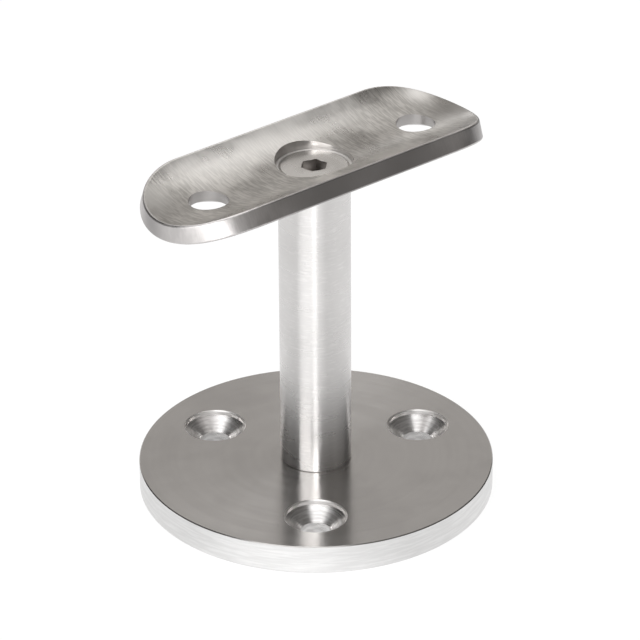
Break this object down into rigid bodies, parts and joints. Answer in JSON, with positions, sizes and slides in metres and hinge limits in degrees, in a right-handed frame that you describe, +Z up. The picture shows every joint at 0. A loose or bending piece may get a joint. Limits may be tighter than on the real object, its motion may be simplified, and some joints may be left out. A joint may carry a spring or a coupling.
{
  "type": "handrail bracket",
  "caption": "Standing handrail bracket: a round countersunk base flange, a straight turned stem and a bent obround saddle plate that takes a round rail.",
  "frame": {"origin": "centre of the flange's flat underside", "axes": "+Z up along the stem, from the flange to the saddle; +X along the handrail, which is the saddle plate's long way; +Y across the rail"},
  "size_m": [0.065, 0.06, 0.0632],
  "materials": {
    "flange_steel": "satin, turned",
    "stem_steel": "satin, turned",
    "saddle_steel": "tumbled and brushed, with scratches",
    "screw_steel": "smooth"
  },
  "bodies": {
    "root": {"base_flange": "flange_steel", "stem": "stem_steel", "saddle_plate": "saddle_steel", "saddle_screw": "screw_steel", "base_screw": "screw_steel"}
  },
  "joints": []
}
